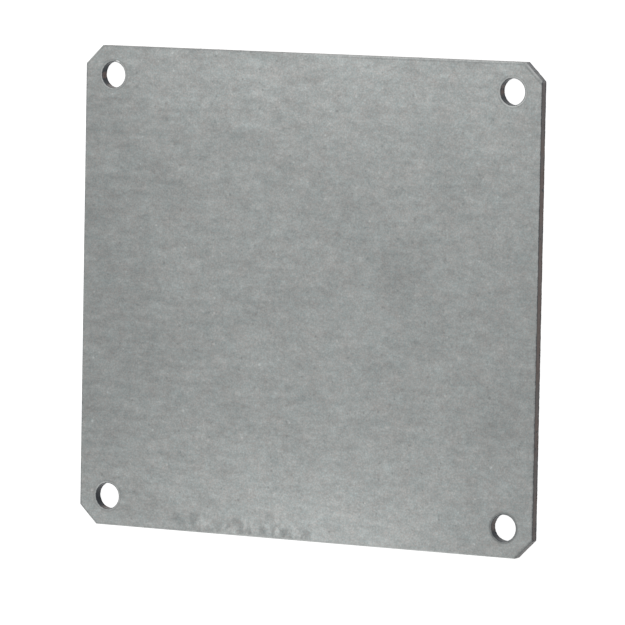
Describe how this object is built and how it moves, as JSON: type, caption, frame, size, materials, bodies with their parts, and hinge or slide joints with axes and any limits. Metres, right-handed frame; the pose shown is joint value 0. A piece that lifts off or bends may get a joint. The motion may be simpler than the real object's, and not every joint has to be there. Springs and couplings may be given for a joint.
{
  "type": "mounting plate",
  "caption": "Flat galvanised sheet-steel mounting plate, nearly square, with clipped corners and a round fixing hole near each corner.",
  "frame": {"origin": "centre of the back face", "axes": "+Z out of the front face, +X across the plate to the right, +Y up the plate"},
  "size_m": [0.1, 0.096, 0.002],
  "materials": {
    "zinc_sheet": "matt grey zinc coating with a fine grain and faint rolling streaks; bare dark steel on the cut edges and hole walls"
  },
  "bodies": {
    "root": {"plate": "zinc_sheet"}
  },
  "joints": []
}
